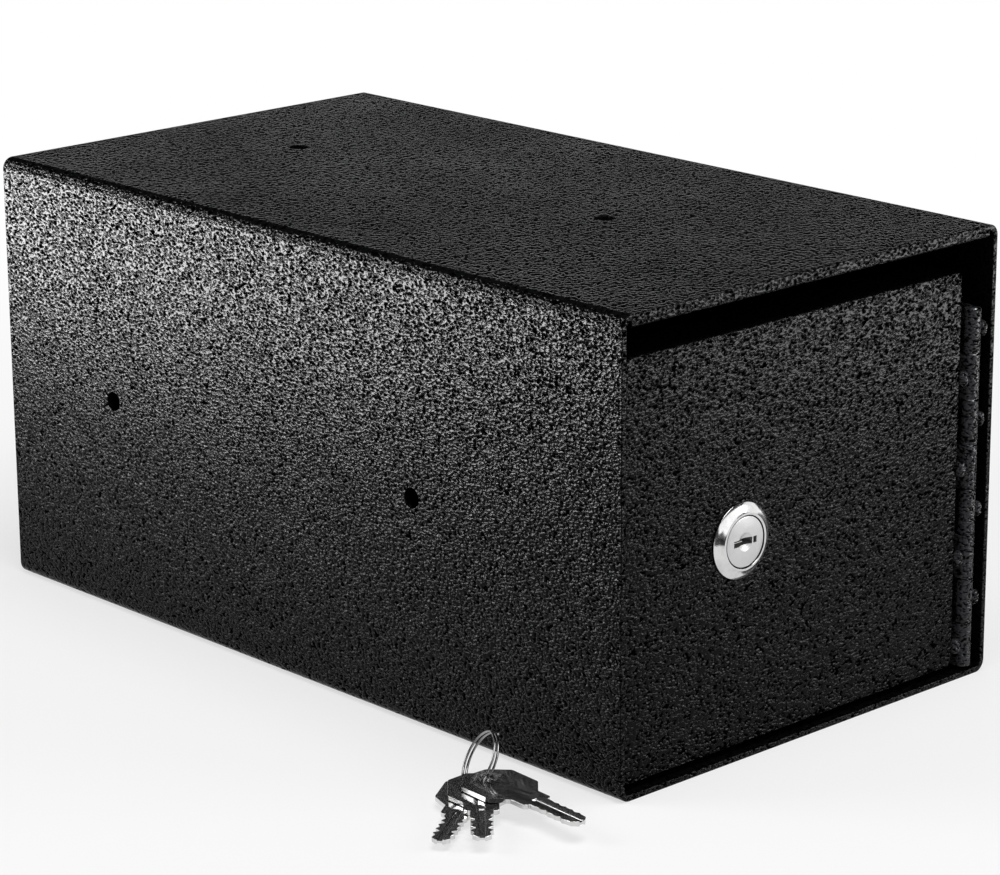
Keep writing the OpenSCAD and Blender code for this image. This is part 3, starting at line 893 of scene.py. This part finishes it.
def makePlugTail(s):
    points, faces = lockBlock(s["square"], s["square"], -s["tail"], -s["depth"])
    piece = newPiece("plugTail", points, faces, "nickel")
    rounded(piece, s["tailRound"], 2, meshSettings["cutDegrees"])
    baked(piece)
    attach(piece, bodyOf["lock_plug"])


makePlug(plugSettings)
makePlugTail(plugSettings)
print("lock built")


# hexagon pieces: a nut, and a screw head, with turned chamfers
# levels are (height, limiting radius), and each row is the hexagon cut back to that radius
# the nodes' corners point along X, so their flats face up and down
nutSettings = {
    "across": 24.0,
    "levels": (
        (-3.0, 10.2), (-3.0, 12.1), (-3.35, 13.2), (-3.8, 14.5), (-7.2, 14.5), (-7.65, 13.2),
        (-8.0, 12.1), (-8.0, 10.2), (-7.5, 9.56), (-3.5, 9.56),
    ),
}
screwSettings = {
    "across": 7.0,
    "levels": ((-24.3, 2.5), (-24.3, 4.0), (-26.65, 4.2), (-26.98, 3.7), (-27.1, 3.3), (-27.1, 0.4)),
}


def hexRows(s, steps=72):
    rows = []
    for height, limit in s["levels"]:
        row = []
        for k in range(steps):
            angle = 2 * math.pi * k / steps
            fold = (angle + math.pi / 6) % (math.pi / 3) - math.pi / 6
            reach = min(s["across"] / 2 / math.cos(fold), limit)
            row.append(onLock(reach, angle + math.pi / 6, height))
        rows.append(row)
    return rows


def makeNut(s):
    rows = hexRows(s)
    dress(newPiece("lockNut", joined(rows), rings(rows, True), "zinc", 25.0), "lock_nut")


def makeScrew(s):
    points = []
    faces = []
    addTube(points, faces, hexRows(s))
    dress(newPiece("camScrew", points, faces, "zinc", 25.0), "cam_screw")


makeNut(nutSettings)
makeScrew(screwSettings)


# rows of points round a path, for a wire
def wireRows(path, radius, sides):
    rows = []
    normal = None
    for i, point in enumerate(path):
        before = path[max(i - 1, 0)]
        after = path[min(i + 1, len(path) - 1)]
        along = (after - before).normalized()
        normal = along.orthogonal() if normal is None else normal - along * normal.dot(along)
        normal.normalize()
        third = along.cross(normal)
        row = []
        for k in range(sides):
            angle = 2 * math.pi * k / sides
            row.append(point + (normal * math.cos(angle) + third * math.sin(angle)) * radius)
        rows.append(row)
    return rows


# split ring of two turns through the three keys
ringSettings = {
    "centre": (-106.122, -113.596, 9.131), "radius": 9.5, "wire": 0.4, "sides": 14, "pitch": 1.25,
    "turns": 2, "yaw": 66.0, "tilt": 118.0, "stepsPerTurn": 96,
}


def makeRing(s):
    tilt = Matrix.Rotation(math.radians(s["tilt"]), 3, "X")
    turn = Matrix.Rotation(math.radians(s["yaw"]), 3, "Z") @ tilt
    path = []
    for i in range(s["turns"] * s["stepsPerTurn"] + 1):
        angle = math.pi / 2 + 2 * math.pi * i / s["stepsPerTurn"]
        rise = s["pitch"] * (i / s["stepsPerTurn"] - s["turns"] / 2)
        flat = Vector((s["radius"] * math.cos(angle), s["radius"] * math.sin(angle), rise))
        path.append(Vector(s["centre"]) + turn @ flat)
    points = []
    faces = []
    addTube(points, faces, wireRows(path, s["wire"], s["sides"]))
    dress(newPiece("keyRing", points, faces, "ring_nickel", 40.0), "key_ring")


makeRing(ringSettings)


# springs beside the wafers, wound from fine wire
springSettings = {"wire": 0.09, "sides": 6, "radius": 0.3, "coils": 7, "stepsPerCoil": 16}


def makeSprings(s):
    points = []
    faces = []
    steps = s["coils"] * s["stepsPerCoil"]
    for low, high in solidBoxes("wafer_springs"):
        mid = (low + high) / 2
        path = []
        for i in range(steps + 1):
            angle = 2 * math.pi * i / s["stepsPerCoil"]
            across = low.x + s["wire"] + (high.x - low.x - 2 * s["wire"]) * i / steps
            y = mid.y + s["radius"] * math.cos(angle)
            z = mid.z + s["radius"] * math.sin(angle)
            path.append(Vector((across, y, z)))
        addTube(points, faces, wireRows(path, s["wire"], s["sides"]))
    dress(newPiece("waferSprings", points, faces, "zinc", 60.0), "wafer_springs")


makeSprings(springSettings)
print("ring and springs wound")


# keys: bevelled blanks with a milled groove on both faces and pointed cuts along both edges
# lengths count from the hole's middle, and the groove's half widths are at its floor and where it opens
# the cuts start firstCut past the neck, and their row is cutsShort shorter than the blade
keySettings = {
    "thickness": 1.5, "rear": 6.1, "rearHalf": 4.5, "rearRound": 1.6, "cornerX": -0.6, "half": 10.2,
    "bowRound": 1.8, "bowFront": 17.5, "slant": 5.9, "neckHalf": 5.3, "neckRound": 1.2, "neckEnd": 23.9,
    "neckCut": 1, "bladeHalf": 3.5, "smallRound": 0.3, "rootRound": 0.2, "tip": 43.7,
    "tipSlope": (1.6, 0.6), "tipHalf": 1.2, "tipRounds": (0.5, 0.6), "cuts": (0.9, 1.5, 0.8, 1.6, 1.1),
    "firstCut": 2, "cutsShort": 4, "cutFloor": (0.42, 0.62), "arcSteps": 3, "hole": 2.9, "holeSides": 48,
    "holeReach": (-1, 3), "grooveHalf": (0.825, 0.975), "grooveDepth": 0.35, "groovePast": 2, "clear": 1,
    "edge": 0.12, "edgeDegrees": 50,
}
# node, piece, hole on the ring, turn, and how deep its cuts look against the others
keyPlaces = {
    "key_1": ("topKey", (-111.5, -122.3, 5.8), 266.4, 0.35),
    "key_2": ("middleKey", (-111.088, -119.086, 4.05), 227.5, 1.0),
    "key_3": ("bottomKey", (-111.534, -117.801, 2.3), 212.5, 1.0),
}


def keyOutline(s, wear):
    start = s["neckEnd"] + s["firstCut"]
    pitch = (s["tip"] - s["neckEnd"] - s["cutsShort"]) / len(s["cuts"])
    small = s["smallRound"]
    half = [
        (-s["rear"], s["rearHalf"], s["rearRound"]),
        (s["cornerX"], s["half"], s["bowRound"]),
        (s["bowFront"] - s["slant"], s["half"], s["bowRound"]),
        (s["bowFront"], s["neckHalf"], s["neckRound"]),
        (s["neckEnd"] - s["neckCut"], s["neckHalf"], small),
        (s["neckEnd"], s["neckHalf"] - s["neckCut"], small),
        (s["neckEnd"], s["bladeHalf"], s["rootRound"]),
    ]
    for i, depth in enumerate(s["cuts"]):
        half.append((start + i * pitch, s["bladeHalf"], small))
        for share in s["cutFloor"]:
            half.append((start + (i + share) * pitch, s["bladeHalf"] - depth * wear, small))
    back, down = s["tipSlope"]
    half.append((s["tip"] - back, s["bladeHalf"] - down, s["tipRounds"][0]))
    half.append((s["tip"], s["tipHalf"], s["tipRounds"][1]))
    return roundCorners(half + [(x, -y, r) for x, y, r in reversed(half)], s["arcSteps"])


def grooveCutter(s, floorAt, openAt):
    # a trapezoid bar along the blade, narrow at the groove's floor and wide where it opens
    narrow, wide = s["grooveHalf"]
    section = [(-narrow, floorAt), (narrow, floorAt), (wide, openAt), (-wide, openAt)]
    ends = (s["neckEnd"] - s["groovePast"], s["tip"] + s["groovePast"])
    return cutter([(x, y, z) for x in ends for y, z in section], boxFaces())


def boreCutter(s):
    profile = [(s["hole"], height) for height in s["holeReach"]]
    return cutter(*turned(profile, s["holeSides"], lambda r, t, h: (r * math.cos(t), r * math.sin(t), h)))


def makeKey(node, name, hole, turn, wear, s):
    outline = keyOutline(s, wear)
    count = len(outline)
    points = [(x, y, z) for z in (0, s["thickness"]) for x, y in outline]
    faces = [tuple(range(count)), tuple(range(count, 2 * count))]
    faces += [(i, (i + 1) % count, (i + 1) % count + count, i + count) for i in range(count)]
    piece = newPiece(name, points, faces, "nickel", 30.0)
    under = grooveCutter(s, s["grooveDepth"], -s["clear"])
    over = grooveCutter(s, s["thickness"] - s["grooveDepth"], s["thickness"] + s["clear"])
    carve(piece, [boreCutter(s), under, over])
    rounded(piece, s["edge"], 2, s["edgeDegrees"])
    baked(piece)
    piece.data.transform(Matrix.Rotation(math.radians(turn), 4, "Z"))
    piece.data.transform(Matrix.Translation(Vector(hole) * mm))
    dress(piece, node)


for node, (name, hole, turn, wear) in keyPlaces.items():
    makeKey(node, name, hole, turn, wear, keySettings)
print("keys cut:", len(keyPlaces))


# floor: the camera sees plain white far off, and near the object a share of it, blank, so that shadows show
floorSettings = {
    "half": 14.0, "cells": 28, "near": 0.20, "far": 0.65, "blank": 0.6, "colour": (0.86, 0.86, 0.86),
    "specks": 900.0, "speckShade": 0.97, "speckShare": 0.3,
}
# surroundings: mirrors see white at eye level, which falls to the ceiling's strength at the height dark
worldSettings = {"fill": 0.30, "white": 0.0, "dark": 0.055, "ceiling": 0.03}


def makeFloor(s):
    size = s["half"] / mm
    cells = s["cells"]
    marks = [-size + 2 * size * i / cells for i in range(cells + 1)]
    rows = [[(x, y, 0) for x in marks] for y in marks]
    f = Finish("paleFloor")
    where = f.place()
    away = f.vector("LENGTH", where, out="Value")
    blank = f.span(away, s["near"], s["far"], s["blank"], 1.0)
    speck = tuple(c * s["speckShade"] for c in s["colour"])
    base = f.mix(f.grain(where, s["specks"]) * s["speckShare"], s["colour"], speck)
    matt = f.add("BsdfPrincipled", None, {"Base Color": base, "Roughness": 0.8, "Specular IOR Level": 0.1})
    glow = f.add("Emission", None, {"Color": (1, 1, 1, 1), "Strength": 1.0})
    finishes["floor"] = f.close(f.add("MixShader", None, {0: f.seen() * blank, 1: matt, 2: glow}))
    newPiece("floor", joined(rows), rings(rows, False, False), "floor")


# a low black flag in front, which only mirrors see
flagSettings = {
    "centre": (-0.12, -0.47, 0.0), "half": 0.16, "height": 0.082, "turn": -15.0,
    "marks": (-1, -0.5, 0, 0.5, 1), "shade": (0.004, 0.004, 0.004),
}


def makeFlag(s):
    f = Finish("blackFlag")
    finishes["flag"] = f.shade({"Base Color": (*s["shade"], 1), "Roughness": 0.9})
    turn = Matrix.Rotation(math.radians(s["turn"]), 3, "Z")
    rows = []
    for z in (0.0, s["height"]):
        spots = [turn @ Vector((x * s["half"], 0, z)) + Vector(s["centre"]) for x in s["marks"]]
        rows.append([spot / mm for spot in spots])
    flag = newPiece("flag", joined(rows), rings(rows, False, False), "flag")
    flag.visible_camera = False
    flag.visible_diffuse = False
    flag.visible_shadow = False


def makeWorld(s):
    # the camera sees white all round, and mirrors see white only low down
    f = Finish("surroundings", "worlds")
    up = f.add("SeparateXYZ", None, {0: f.add("TexCoord", out="Generated")}, out="Z")
    bright = f.span(up, s["white"], s["dark"], 1.0, s["ceiling"]).most(f.ray("Camera"))
    white = f.add("Background", None, {"Color": (1, 1, 1, 1), "Strength": bright})
    fill = f.add("Background", None, {"Color": (1, 1, 1, 1), "Strength": s["fill"]})
    around = f.add("MixShader", None, {0: f.seen(), 1: fill, 2: white})
    bpy.context.scene.world = f.close(around, "OutputWorld")


# lamps: position, aim, (width, height), roll, power, spread, and what they light
# banks only show as gloss on the coat, and stand lower than the roof, so that it never mirrors them
# the strip is gloss on the coat too, and draws the light line along the roof's long bend
# panels only show as gloss on the metal, and the gap between them is the notch in the bezel's light
lampSettings = {
    "leftBank": ((-0.352, 0.34, 0.06), (-0.148, 0.12, 0.31), (0.38, 0.14), -11.0, 6.0, 100.0, "coat"),
    "bendStrip": ((-0.43, 0.61, 0.58), (-0.085, 0.04, 0.27), (0.9, 0.3), 0.0, 1.2, 30.0, "coat"),
    "frontBank": ((0.27, -0.42, 0.077), (0.0, -0.15, 0.077), (0.24, 0.13), 0.0, 1.25, 150.0, "coat"),
    "frontPanel": ((0.091, -1.864, 0.85), (-0.409, -0.314, 0.10), (2.33, 1.0), 0.0, 10.3, 180.0, "metal"),
    "rightPanel": ((1.735, -0.88, 0.65), (-0.031, -0.15, 0.071), (1.42, 1.2), 0.0, 6.5, 180.0, "metal"),
    "overhead": ((-0.15, -0.45, 1.45), (0.0, 0.0, 0.10), (0.9, 0.9), 0.0, 13.0, 180.0, "all"),
    "backLeft": ((-1.1, 0.9, 0.9), (-0.085, 0.1, 0.1), (0.7, 0.7), 0.0, 8.0, 180.0, "all"),
    "frontRight": ((1.0, -1.35, 0.7), (0.0, -0.15, 0.08), (0.7, 0.7), 0.0, 8.0, 180.0, "all"),
}


def litBy(group):
    # a collection of the pieces that are coated, or of those that are bare metal
    chosen = bpy.data.collections.new(group + "Pieces")
    for piece in bpy.context.scene.objects:
        if piece.type == "MESH" and piece.data.materials:
            coated = piece.data.materials[0] in (finishes["black_coat"], finishes["hinge_lit_coat"])
            if piece.name not in ("floor", "flag") and coated == (group == "coat"):
                chosen.objects.link(piece)
    return chosen


def makeLamps(table):
    groups = {group: litBy(group) for group in ("coat", "metal")}
    for name, (place, aim, size, roll, power, spread, lights) in table.items():
        data = bpy.data.lights.new(name, "AREA")
        data.shape = "RECTANGLE"
        data.size, data.size_y = size
        data.energy = power
        data.spread = math.radians(spread)
        lamp = bpy.data.objects.new(name, data)
        lamp.visible_camera = False
        if lights in groups:
            lamp.visible_diffuse = False
            lamp.light_linking.receiver_collection = groups[lights]
        facing = (Vector(aim) - Vector(place)).to_track_quat("-Z", "Y").to_matrix()
        turn = facing @ Matrix.Rotation(math.radians(roll), 3, "Z")
        lamp.matrix_world = Matrix.Translation(place) @ turn.to_4x4()
        bpy.context.scene.collection.objects.link(lamp)


makeFloor(floorSettings)
makeFlag(flagSettings)
makeWorld(worldSettings)
makeLamps(lampSettings)
bpy.context.scene.view_settings.view_transform = "Standard"
print("stage lit")
